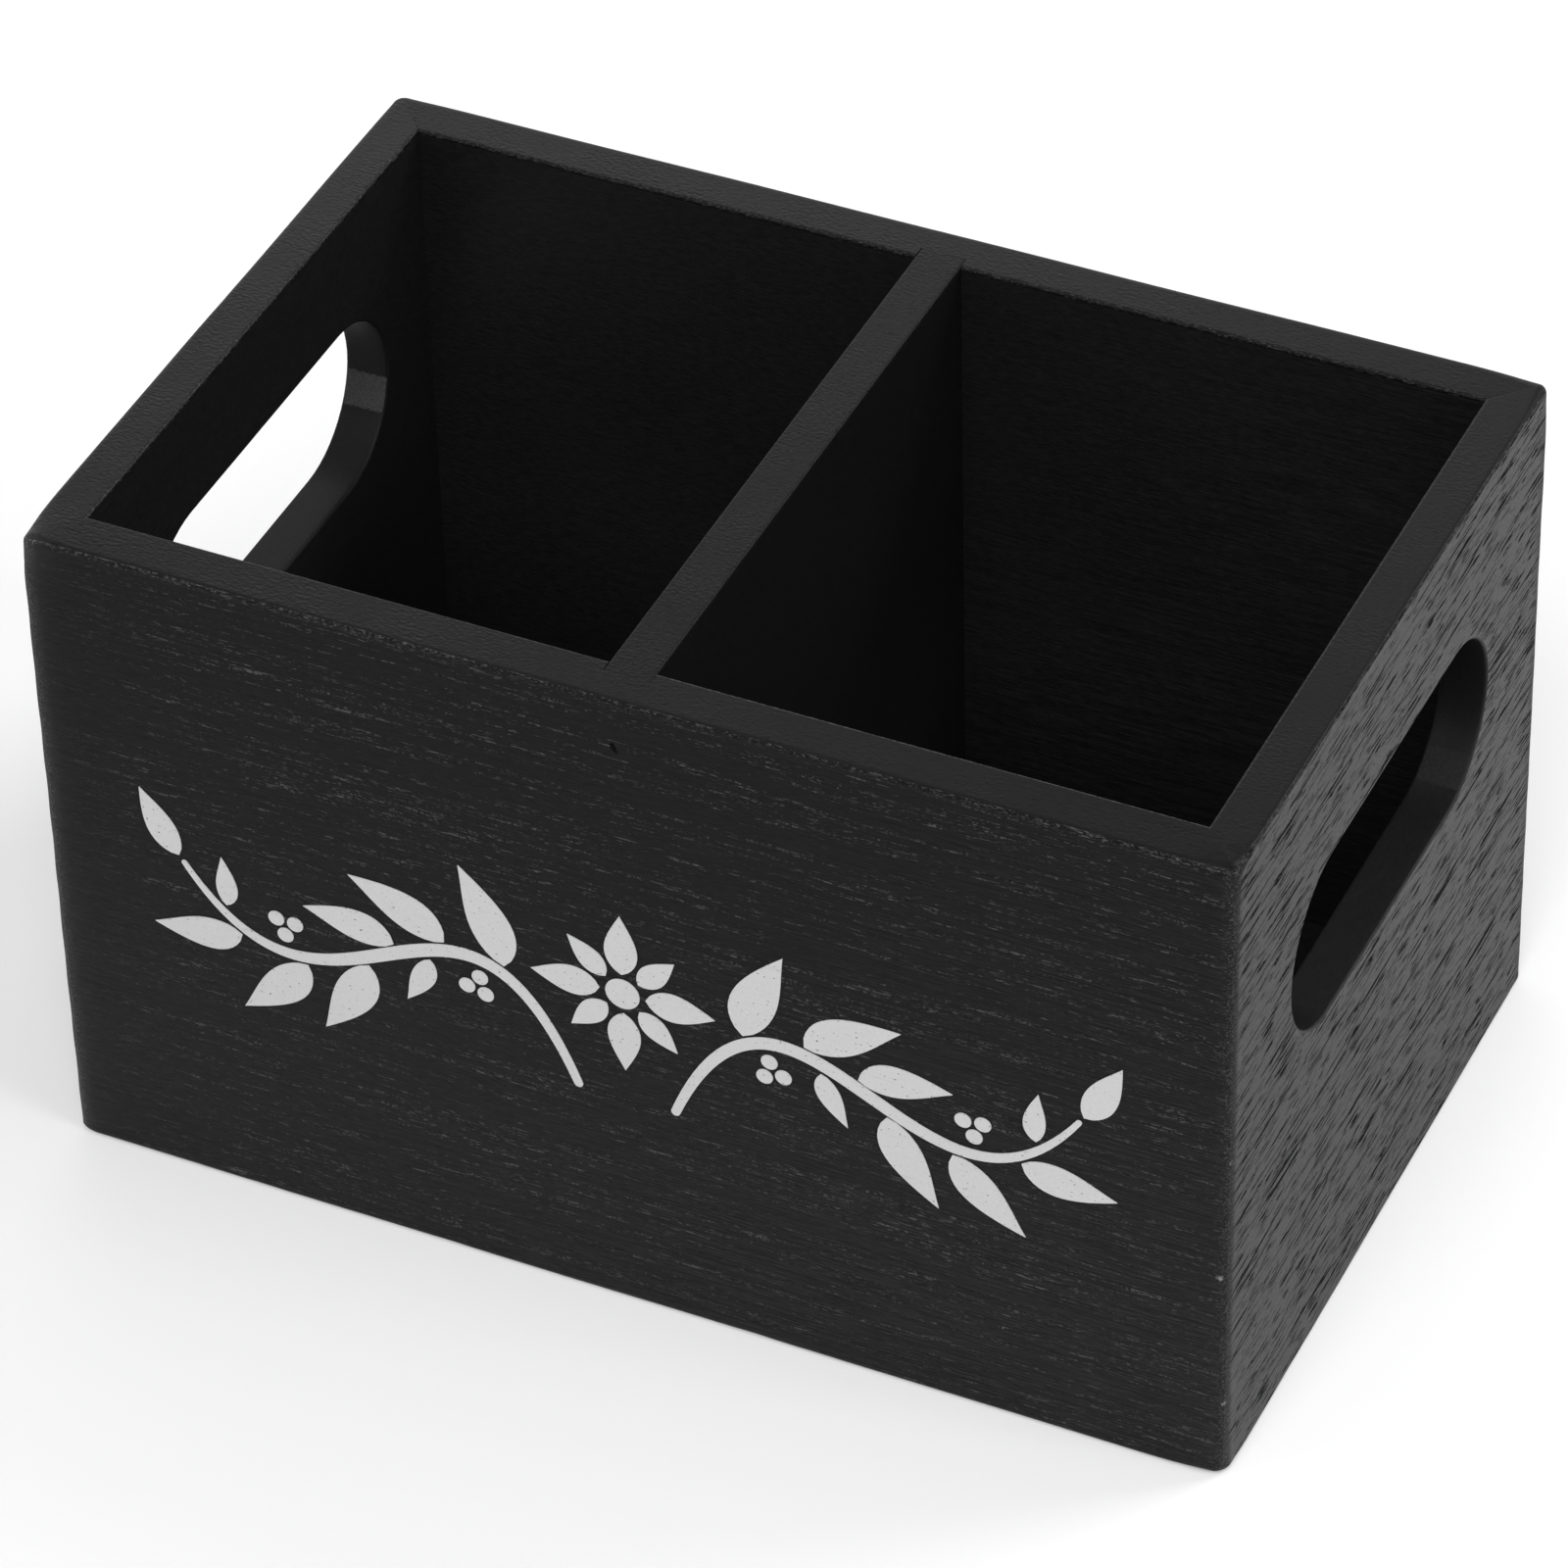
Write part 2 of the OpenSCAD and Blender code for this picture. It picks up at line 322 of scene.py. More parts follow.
def open_pores(tree, at, grain_place, axis, grain):
    """1 in a pore, fine or coarse, except where paint fills it."""
    rows = streaks(tree, grain_place, axis, *grain["rows"], 1)
    length, width = grain["pore"]
    least, spread = grain["least"], grain["spread"]
    fine = pores(tree, grain_place, axis, (length, width), least, rows, spread, 2)
    longer = (3.5 * length, 1.3 * width)
    coarse = pores(tree, grain_place, axis, longer, least + 0.033, rows, spread)
    unfilled = sum_of(tree, "SUBTRACT", at.open_grain, at.filled)
    return sum_of(tree, "MULTIPLY", sum_of(tree, "MAXIMUM", fine, coarse), unfilled)


def readings(tree, axis, grain):
    """Where the point is, what the mesh's layers say there, and the patterns of the wood."""
    at = SimpleNamespace(**{layer: attribute(tree, layer) for layer in LAYERS})
    at.place = millimetre_place(tree)
    at.along_x, _, at.rise = add(tree, "ShaderNodeSeparateXYZ", {0: at.place}).outputs
    at.rim = ramp(tree, at.rise, height - 0.8, height - 0.5)
    at.grit = noise(tree, at.place, 2, 2.2).outputs[0]
    at.torn = ramp(tree, sum_of(tree, "MULTIPLY_ADD", at.grit, 0.5, at.torn_grain), 0.65, 0.85)
    at.nicks = pores(tree, at.place, X_GRAIN, SIZES["nick"], 0.635, at.grit)
    grain_place = wandering(tree, at.place, axis, grain["drift"])
    at.fibres = streaks(tree, grain_place, axis, *SIZES["fibre"])
    at.holes = open_pores(tree, at, grain_place, axis, grain) if grain["depth"] else 0.0
    if grain["ribs"]:
        to_right = sum_of(tree, "MULTIPLY_ADD", at.rise, -0.7, at.along_x)
        at.ribbed = ramp(tree, to_right, -80, 30, 0.15, 1.0)
        at.ribs = streaks(tree, grain_place, axis, *SIZES["rib"], 1)
    return at


print("layers that a mesh may carry:", ", ".join(LAYERS))
print("patterns, mm along and across the grain:", SIZES)

# %% [markdown]
# The relief is told in millimetres. Pores go down and fibres stand up on the outer faces, the inner
# ones are nearly flat, and the rim has the scratches of the sandpaper, deepest at its left.

# %% Relief of the paint
DEPTHS = {"rib": 0.1, "tear": 0.06, "grit": 0.02, "edge": 0.08, "nick": 0.12}


def paint_relief(tree, at, grain):
    outside = sum_of(tree, "MULTIPLY", at.holes, -grain["depth"])
    if grain["ribs"]:
        ribs = sum_of(tree, "MULTIPLY", at.ribbed, DEPTHS["rib"])
        outside = sum_of(tree, "MULTIPLY_ADD", at.fibres, grain["fibre"], outside)
        outside = sum_of(tree, "MULTIPLY_ADD", at.ribs, ribs, outside)
    roughness = sum_of(tree, "MULTIPLY_ADD", at.torn, DEPTHS["tear"], DEPTHS["grit"])
    faces = mixed(tree, at.open_grain, sum_of(tree, "MULTIPLY", at.grit, roughness), outside)
    at_edge = sum_of(tree, "MULTIPLY", at.edge, DEPTHS["edge"])
    faces = sum_of(tree, "MULTIPLY_ADD", at.grit, at_edge, faces)
    sanding = noise(tree, vector_of(tree, "DIVIDE", at.place, (14, 14, 14)), 0).outputs[0]
    sanding = ramp(tree, sanding, 0.3, 0.7, 0.05, 0.14)
    sanding = sum_of(tree, "MULTIPLY", sanding, ramp(tree, at.along_x, -90, 70, 1.0, 0.4))
    scratches = streaks(tree, at.place, X_GRAIN, *SIZES["scratch"])
    scratches = sum_of(tree, "MULTIPLY", scratches, sanding)
    on_rim = sum_of(tree, "MULTIPLY_ADD", at.nicks, -DEPTHS["nick"], scratches)
    return relief(tree, mixed(tree, at.rim, faces, on_rim))


print("depths in mm:", DEPTHS)

# %% [markdown]
# The tones are those of soot, 0.4 to 2 percent. Some of their steps are painted light: the outer
# faces are lighter at the foot than at the head, the inner faces lighter low down than at the top,
# and the rim lighter at its left. Brighter ones are wood or primer that shows where the paint is
# rubbed thin at edges, and where a chip has gone; over the pores of the long boards and along two
# edges of the front they are painted glints.

# %% Tone of the paint
TONES = {"foot": 0.0128, "head": 0.006, "hole_wall": 0.006, "rim_left": 0.0065, "rim_right": 0.0035,
         "rubbed_and_glints": 0.018, "fleck": 0.05, "worn_chip": 0.1, "chip": 0.3}


def black_tone(tree, at, grain, deep_tone, top_tone):
    # Painted light: inside the box the faces are lighter low down than at the top.
    inner = ramp(tree, at.rise, 20, 105, deep_tone, top_tone)
    inner = mixed(tree, at.hole_wall, inner, TONES["hole_wall"])
    # The torn patch is real torn grain, and its lighter colour is painted light.
    inner = mixed(tree, at.torn, inner, at.torn_tone)
    # Painted light: the outer faces are lighter at the foot than at the head, for light bounced up
    # from the floor.
    outer = ramp(tree, at.rise, 0, height, TONES["foot"], TONES["head"])
    tone = mixed(tree, at.open_grain, inner, outer)
    # Painted shade: a pore's colour is darker by the grain's dark share, which only the end boards
    # use.
    tone = sum_of(tree, "MULTIPLY", tone, ramp(tree, at.holes, 0, 1, 1.0, 1.0 - grain["dark"]))
    # Painted highlight: the rim's colour is lighter at its left than at its right, as its gloss
    # would show.
    rim_tone = ramp(tree, at.along_x, 0, 85, TONES["rim_left"], TONES["rim_right"])
    rim_tone = sum_of(tree, "MULTIPLY", rim_tone, ramp(tree, at.nicks, 0, 1, 1.0, 0.45))
    tone = mixed(tree, at.rim, tone, rim_tone)
    tone = sum_of(tree, "MULTIPLY", tone, ramp(tree, at.fibres, 0.3, 0.7, 0.75, 1.25))
    if grain["ribs"]:
        swing = sum_of(tree, "MULTIPLY", at.ribbed, 0.25)
        low, high = sum_of(tree, "SUBTRACT", 1.0, swing), sum_of(tree, "ADD", 1.0, swing)
        tone = sum_of(tree, "MULTIPLY", tone, ramp(tree, at.ribs, 0.35, 0.65, low, high))
    # Where this layer is high the colour is lighter: real wear at the worn corner, a painted
    # highlight down the front's left edge.
    return sum_of(tree, "MULTIPLY_ADD", at.worn, TONES["rubbed_and_glints"], tone)


def bare_and_glint_tone(tree, at, grain, axis):
    """Pale colour: painted glints on the lips of the pores, flecks where paint is rubbed along the
    edges, and chips.
    """
    painted_pore_glints = ramp(tree, at.grit, 0.42, 0.58, 0.0, grain["bare_and_glint"])
    painted_pore_glints = sum_of(tree, "MULTIPLY", at.holes, painted_pore_glints)
    flecks = pores(tree, at.place, axis, SIZES["fleck"], 0.55, at.grit)
    flecks = ramp(tree, flecks, 0, 1, 0.0, TONES["fleck"])
    rubbed_and_glints = sum_of(tree, "MULTIPLY_ADD", at.edge, flecks, painted_pore_glints)
    specks = ramp(tree, at.grit, 0.6, 0.64, 0.0, TONES["worn_chip"])
    specks = sum_of(tree, "MULTIPLY", ramp(tree, at.worn, 0.55, 1.0), specks)
    chips = ramp(tree, at.grit, 0.42, 0.58, 0.0, TONES["chip"])
    return rubbed_and_glints, sum_of(tree, "MULTIPLY_ADD", at.chipped, chips, specks)


print("share of light sent back:", TONES)

# %% [markdown]
# The gloss is even on a face. It is lost where the wood is torn, in smudges, and in pores. A
# shader counts the other way round: 0 is a mirror and 1 is dead matt.

# %% Gloss of the paint, and the whole coat
ROUGHNESS = {"inside": 0.45, "hole_wall": 0.48, "torn": 0.7, "rim": 0.33, "smudge": 0.65,
             "pore": 1.0}


def paint_roughness(tree, at, grain):
    inner = mixed(tree, at.hole_wall, ROUGHNESS["inside"], ROUGHNESS["hole_wall"])
    inner = mixed(tree, at.torn, inner, ROUGHNESS["torn"])
    faces = mixed(tree, at.open_grain, inner, ramp(tree, at.grit, 0.3, 0.7, 0.28, 0.36))
    smudges = noise(tree, vector_of(tree, "DIVIDE", at.place, (1.6, 1.1, 1.6)), 1).outputs[0]
    smudges = sum_of(tree, "MULTIPLY", at.smudged, ramp(tree, smudges, 0.42, 0.6))
    rim = ramp(tree, smudges, 0, 1, ROUGHNESS["rim"], ROUGHNESS["smudge"])
    closed = mixed(tree, at.rim, faces, rim)
    in_pore = sum_of(tree, "MULTIPLY", at.holes, grain["dull"])
    return mixed(tree, in_pore, closed, ROUGHNESS["pore"])


def black_paint(name, axis, grain, deep_tone, top_tone):
    """Paint over a board's grain; the two tones are for the faces inside the box, low down and at
    the top, and the step between them is painted light.
    """
    material = bpy.data.materials.new(name)
    material.use_nodes = True
    tree = material.node_tree
    shader = tree.nodes["Principled BSDF"]
    at = readings(tree, axis, grain)
    tone = black_tone(tree, at, grain, deep_tone, top_tone)
    for bare_and_glint in bare_and_glint_tone(tree, at, grain, axis):
        tone = sum_of(tree, "ADD", tone, bare_and_glint)
    tree.links.new(grey(tree, tone), shader.inputs["Base Color"])
    tree.links.new(paint_relief(tree, at, grain), shader.inputs["Normal"])
    tree.links.new(paint_roughness(tree, at, grain), shader.inputs["Roughness"])
    shader.inputs["Specular IOR Level"].default_value = grain["shine"]
    return material


# On the long boards the pores get a pale colour, painted glints on their lips; on the end boards
# their colour is darker, painted shade.
long_grain = {"pore": (1.6, 0.17), "rows": (70, 0.9), "least": 0.595, "spread": 0.14, "drift": 2.5,
              "depth": 0.1, "bare_and_glint": 0.065, "dark": 0.0, "dull": 0.3, "shine": 0.085,
              "ribs": True, "fibre": 0.05}
end_grain = {"pore": (4.6, 0.36), "rows": (90, 1.6), "least": 0.582, "spread": 0.025, "drift": 1.2,
             "depth": 0.2, "bare_and_glint": 0.0, "dark": 0.8, "dull": 1.0, "shine": 0.1, "ribs": False}
inner_grain = dict(end_grain, shine=0.075, depth=0.0)
# Each paint gets its own tones inside the box, set for how much light reaches that board's inner
# faces: painted light.
long_paint = black_paint("black_paint_long_boards", X_GRAIN, long_grain, 0.0125, 0.0098)
end_paint = black_paint("black_paint_end_boards", Y_GRAIN, end_grain, 0.022, 0.0072)
inner_paint = black_paint("black_paint_divider", Y_GRAIN, inner_grain, 0.011, 0.0040)
print("paints:", long_paint.name, end_paint.name, inner_paint.name)

# %% [markdown]
# ## A board as a grid
# A board could be a cube with a bevel, but then no vertex is left in its faces to carve. Here each
# face is a grid of points laid out by rule: marks along the board, marks up or across it. Grids
# that share an edge have the same marks there, so they weld into one closed skin. The last marks
# of each grid move in with depth, which cuts the mitre.

# %% Marks and grids


def marks(*runs):
    """Positions along a line; each run is (from, to, widest spacing)."""
    stops = [np.linspace(a, b, math.ceil(abs(b - a) / step - 1e-6) + 1) for a, b, step in runs]
    return np.unique(np.round(np.concatenate(stops), 4))


def grid(s, d, z):
    """A grid of points from arrays that stretch to one shape: along, inward, up."""
    s, d, z = np.broadcast_arrays(s, d, z)
    return np.stack([s, d, z], axis=-1).astype(float)


def mitred(points, half, mitre, reach=12.0):
    """Moves the last marks in with depth."""
    share = np.clip((np.abs(points[..., 0]) - half + reach) / reach, 0, 1)
    points[..., 0] -= np.sign(points[..., 0]) * share * mitre * points[..., 1]
    return points


def arris(points, thickness, radius):
    """Rounds the edge between the rim and the inner face."""
    inner = points[..., 1] - (thickness - radius)
    rise = points[..., 2] - (height - radius)
    at_edge = (inner > 0) & (rise > 0)
    size = np.hypot(inner, rise)
    scale = np.where(at_edge, np.maximum(inner, rise) / np.where(size > 0, size, 1), 1)
    points[..., 1] = np.where(at_edge, thickness - radius + inner * scale, points[..., 1])
    points[..., 2] = np.where(at_edge, height - radius + rise * scale, points[..., 2])
    return points


print("marks:", marks((0, 2, 0.5), (2, 10, 4)))

# %% [markdown]
# ## Hand holes
# A hand hole is a slot with round ends. Cutting it out of a grid with a boolean leaves ragged
# faces, so the grid is slit along the hole's middle line and the slit is pulled open, as when a
# buttonhole is stretched. The marks over the round ends stand closer, and a few rounds of
# averaging let the grid flow round the hole. A ring of faces makes the wall and its rounded lips.

# %% Opening a slit into a hand hole
end_radius = hole_half_height + lip
straight = hole_half_length - hole_half_height
end_angles = np.radians(np.linspace(0, 90, 13))
end_marks = straight + end_radius * np.cos(end_angles)


def opening(s):
    """Half the height of the hole, with its lips, at each mark along the board."""
    past = np.clip(np.abs(s) - straight, 0, end_radius)
    return np.sqrt(end_radius**2 - past**2)


def pulled_open(s, z, centre, reach=30.0, loose=47.0, rounds=150):
    """One half of a face: the row of points on the slit goes to the hole's edge."""
    s, z = np.meshgrid(s, z)
    side = 1 if z.max() > centre else -1
    away = np.clip(np.abs(z - centre), 0, reach)
    flat = np.stack([s, z + side * opening(s) * (1 - away / reach)], axis=-1)
    free = ((np.abs(s) < loose) & (np.abs(z - centre) < reach))[1:-1, 1:-1, None]
    for _ in range(rounds):
        flat[1:-1, 1:-1] = np.where(free, evened(flat), flat[1:-1, 1:-1])
    return flat


def evened(flat):
    """Each inner point moved to where the grid runs smoothly without folding over itself."""
    before, after = flat[1:-1, :-2], flat[1:-1, 2:]
    below, above = flat[:-2, 1:-1], flat[2:, 1:-1]
    along, upward = (after - before) / 2, (above - below) / 2
    cross = (flat[2:, 2:] - flat[2:, :-2] - flat[:-2, 2:] + flat[:-2, :-2]) / 4
    a = (upward * upward).sum(axis=-1, keepdims=True)
    b = (along * upward).sum(axis=-1, keepdims=True)
    c = (along * along).sum(axis=-1, keepdims=True)
    return (a * (before + after) + c * (below + above) - 2 * b * cross) / (2 * (a + c))


def hole_ring(s, thickness, centre):
    """Lip, wall and lip round the hole; each column starts and ends on a face's edge."""
    s = s[np.abs(s) <= straight + end_radius + 1e-6]
    base = np.clip(s, -straight, straight)
    out_s, out_z = (s - base) / end_radius, opening(s) / end_radius
    loop_s = np.concatenate([out_s, out_s[-2::-1]])
    loop_z = np.concatenate([out_z, -out_z[-2::-1]])
    loop_base = np.concatenate([base, base[-2::-1]])
    turn = np.radians(np.linspace(0, 90, 6))
    wall = marks((lip, thickness - lip, 1.0))[1:-1]
    grow = np.concatenate([lip * (1 - np.sin(turn)), 0 * wall, lip * (1 - np.cos(turn))])
    depth = np.concatenate([lip * (1 - np.cos(turn)), wall, thickness - lip * (1 - np.sin(turn))])
    radius = hole_half_height + grow[:, None]
    return grid(loop_base + radius * loop_s, depth[:, None], centre + radius * loop_z)


print("hole with lips:", 2 * (straight + end_radius), "x", 2 * end_radius, "mm")

# %% Marks of one board
ROW_STEP = 0.35


def marks_along(half, has_hole):
    """Close at the ends, and at the hole or the housing."""
    ends = [(-half, -half + 4, 0.4), (half - 4, half, 0.4)]
    if has_hole:
        s = marks(*ends, (-half + 4, -straight - end_radius, 1.5), (-straight, straight, 1.5),
                  (straight + end_radius, half - 4, 1.5))
        return np.unique(np.round(np.concatenate([s, end_marks, -end_marks]), 4))
    wall, past = divider_half, divider_half + 0.05
    return marks(*ends, (-half + 4, -past, 1.5), (-past, -wall, 1), (-wall, -1, 1.2), (-1, 1, 0.15),
                 (1, wall, 1.2), (wall, past, 1), (past, half - 4, 1.5))


def marks_up():
    """Up the outer face, close at the brad and the edges, and up the inner face."""
    below_top, at_arris = height - 3, height - 0.8
    outer = marks((0, 3, 0.3), (3, brad_height - 1, ROW_STEP),
                  (brad_height - 1, brad_height + 1, 0.15),
                  (brad_height + 1, below_top, ROW_STEP), (below_top, height, 0.25))
    inner = marks((panel_high, below_top, 1.4), (below_top, at_arris, 0.5), (at_arris, height, 0.1))
    return outer, inner


def marks_across(thickness):
    at_arris = thickness - 0.8
    return marks((0, 3, 0.25), (3, at_arris, 0.5), (at_arris, thickness, 0.1))


print("marks up the faces:", [len(rows) for rows in marks_up()])

# %% Grids of one board


def plain_faces(s, inside):
    """The outer and the inner face of a board without a hole."""
    outer_z, inner_z = (rows[:, None] for rows in marks_up())
    return [grid(s, brad_dimple(s, outer_z), outer_z)], [grid(s, inside, inner_z)]


def open_faces(s, thickness, hole_height):
    """The same with a hole: each face comes in two halves that meet at the slit."""
    faces = []
    for rows, depth in zip(marks_up(), (0.0, thickness)):
        halves = []
        for half_rows in (rows[rows < hole_height - 0.2], rows[rows > hole_height + 0.2]):
            half_rows = np.sort(np.append(half_rows, hole_height))
            flat = pulled_open(s, half_rows, hole_height)
            halves.append(grid(flat[..., 0], depth, flat[..., 1]))
        faces.append(halves)
    return faces


def board_grids(half, thickness, mitre, housing=0.0, hole_height=None):
    """The grids of a board and the outlines of its two ends, in its own coordinates."""
    s = marks_along(half, hole_height is not None)
    inside = thickness - np.where(np.abs(s) < divider_half + 0.02, housing, 0.0)
    in_groove = np.minimum(inside, thickness - groove_depth)
    rim = grid(s, marks_across(thickness)[:, None] / thickness * inside, height)
    below = grid(s, np.array([1, 1, 0.6, 0.3, 0])[:, None] * thickness, 0.0)
    below[0, :, 2] = panel_low
    groove = grid(s, np.stack([inside, in_groove, in_groove, 0 * s + thickness]),
                  np.array([panel_high, panel_high, panel_low, panel_low])[:, None])
    if hole_height is None:
        (outer, inner), ring = plain_faces(s, inside), []
    else:
        outer, inner = open_faces(s, thickness, hole_height)
        ring = [hole_ring(s, thickness, hole_height)]
    sheets = outer + [rim] + inner + [groove, below] + ring
    outlines = []
    for end in (0, -1):
        parts = [g[:, end] for g in outer] + [rim[:, end]] + [g[::-1, end] for g in inner[::-1]]
        outlines.append(np.concatenate(parts + [groove[:, end], below[:, end]]))
    for points in sheets + outlines:
        mitred(arris(points, thickness, 0.5), half, mitre)
    for points in outlines + [rim[:, 0], rim[:, -1]]:
        sink_joint(points, thickness)
    return sheets, outlines


def brad_dimple(s, z):
    """How deep the face is over the sunk head of a brad: a small slanting oval pit."""
    along, rise = (s - 0.3 + 0.35 * (z - brad_height)) / 0.45, (z - brad_height) / 0.85
    return (brad_sink + 0.15) * (1 - np.clip(np.hypot(along, rise), 0, 1) ** 3)


def sink_joint(points, thickness):
    """The glue line sits a hair lower where the mitre reaches the inner corner."""
    on_rim = points[:, 2] > height - 0.01
    points[on_rim, 2] -= 0.05 * (points[on_rim, 1] / thickness) ** 5


front_sheets, _ = board_grids(half_length, long_board_t, end_board_t / long_board_t, housing_depth)
print("front board:", [g.shape[:2] for g in front_sheets])

# %% [markdown]
# ## Sanded edges
# The glued box was sanded by hand: its outer edges are round, a little uneven, and the top corner
# at the front left is rubbed down the most. A bevel has one width everywhere. This rule moves
# every point near an edge onto a rounding whose radius changes from place to place, and both
# boards of a corner get the same rule, so they still meet.

# %% Where the rounding is larger or smaller
box_low = np.array([-half_length, -half_depth, 0.0])
box_high = np.array([half_length, half_depth, height])
left, front, bottom = box_low
right, back, top = box_high
ALL, UPRIGHT = (1, 1, 1), (1, 1, 0)
extra_radii = [  # place, directions that count, reach, and how much more along X, Y and Z
    ((0, front, top), (0, 1, 1), 6, (0, -0.6, -0.4)),
    ((left, front, bottom), UPRIGHT, 6, (2.2, -0.2, 0)),
    ((left, front, top), ALL, 5, (0.4, 1.4, 1.6)),
    ((right, front, top), ALL, 5, (0.9, 0.9, 1.2)),
    ((right, front, bottom), UPRIGHT, 5, (0.3, 0.5, 0)),
    ((right, front, bottom), ALL, 6, (0.8, 0.8, 0.8)),
    ((right, back, top), ALL, 6, (0.9, 0.9, 0.9)),
    ((right, back, bottom), UPRIGHT, 6, (0.1, 0.1, 0)),
    ((left, back, bottom), UPRIGHT, 6, (0.6, 0.6, 0)),
]
print("places with a rounding of their own:", len(extra_radii))

# %% Sanding the outer edges


def near(points, place, reach, directions=(1, 1, 1)):
    """1 at a place, fading to 0 over about the reach; a direction of 0 isn't counted."""
    apart = (points - np.array(place)) * np.array(directions)
    return np.exp(-(apart**2).sum(axis=1) / reach**2)


def sanding_radii(points):
    """How far in from each face the rounding starts, along X, Y and Z, at each point."""
    x, y, z = points.T
    uneven = np.sin(x / 7.3 + 0.6 * z) + np.sin(y / 5.9 - x / 17) + np.sin(z / 8.7 + y / 11)
    radii = np.array([1.2, 1.2, 0.9]) * (1 + 0.05 * uneven)[:, None]
    front_top = near(points, (0, front, top), 6, (0, 1, 1))
    right_top = near(points, (right, 0, top), 6, (1, 0, 1)) * (1 - front_top)
    radii -= np.array([0.6, 0, 0.4]) * right_top[:, None]
    for place, directions, reach, more in extra_radii:
        radii += np.array(more) * near(points, place, reach, directions)[:, None]
    return radii


def sanded(points):
    radii = sanding_radii(points)
    past = points - np.clip(points, box_low + radii, box_high - radii)
    share = np.abs(past) / radii
    length = np.linalg.norm(share, axis=1)
    scale = np.where(length > 0, share.max(axis=1) / np.where(length > 0, length, 1), 1)
    return points - past * (1 - scale)[:, None]


print("radii at the worn corner:", sanding_radii(np.array([[left, front, top]])).round(2))

# %% Welding grids into a mesh


def welded(sheets, outlines):
    """One list of points and faces: points in the same place become one."""
    blocks = [g.reshape(-1, 3) for g in sheets] + list(outlines)
    points, number = np.unique(np.round(np.concatenate(blocks), 3), axis=0, return_inverse=True)
    number = number.reshape(-1)
    faces, start = [], 0
    for g in sheets:
        ids = number[start:start + g[..., 0].size].reshape(g.shape[:2])
        start += ids.size
        quads = np.stack([ids[:-1, :-1], ids[:-1, 1:], ids[1:, 1:], ids[1:, :-1]], axis=-1)
        faces += quads.reshape(-1, 4).tolist()
    for outline in outlines:
        faces.append(number[start:start + len(outline)].tolist())
        start += len(outline)
    kept = []
    for face in faces:
        face = [a for a, b in zip(face, face[1:] + face[:1]) if a != b]
        if len(face) > 2 and len(set(face)) == len(face):
            kept.append(face)
    return points, kept


def mesh_of(name, points, faces, **attributes):
    """A mesh in metres with its normals outward and its corners marked sharp."""
    mesh = bpy.data.meshes.new(name)
    mesh.from_pydata((points * MM).tolist(), [], faces)
    for layer, values in attributes.items():
        mesh.attributes.new(layer, "FLOAT", "POINT").data.foreach_set("value", values)
    skin = bmesh.new()
    skin.from_mesh(mesh)
    bmesh.ops.recalc_face_normals(skin, faces=skin.faces)
    for edge in skin.edges:
        edge.smooth = len(edge.link_faces) == 2 and edge.calc_face_angle() < math.radians(40)
    open_edges = sum(len(edge.link_faces) != 2 for edge in skin.edges)
    skin.to_mesh(mesh)
    skin.free()
    mesh.polygons.foreach_set("use_smooth", [True] * len(mesh.polygons))
    triangles = sum(len(p.vertices) - 2 for p in mesh.polygons)
    print(f"{name}: {len(mesh.vertices)} points, {triangles} triangles, {open_edges} open edges")
    return mesh


# %% [markdown]
# ## Carving the grain
# Bump only bends light. The deeper pores and the slow waves that sanding leaves also break the
# outline of an edge, so they are carved into the mesh. The same rule serves every board, which is
# what Geometry Nodes are for: one tree with named sizes, used with other values on each board.

# %% The carving tree
PORE_SIZE, WAVE_SIZE = (9.0, 1.1), (38.0, 12.0)
CARVER_INPUTS = [
    ("Pore size", "NodeSocketVector", stretched(*PORE_SIZE, X_GRAIN)),
    ("Pore depth", "NodeSocketFloat", 0.05),
    ("Wave size", "NodeSocketVector", stretched(*WAVE_SIZE, X_GRAIN)),
    ("Wave depth", "NodeSocketFloat", 0.06),
    ("Seed", "NodeSocketFloat", 1.0),
    ("Paint", "NodeSocketMaterial", None),
]


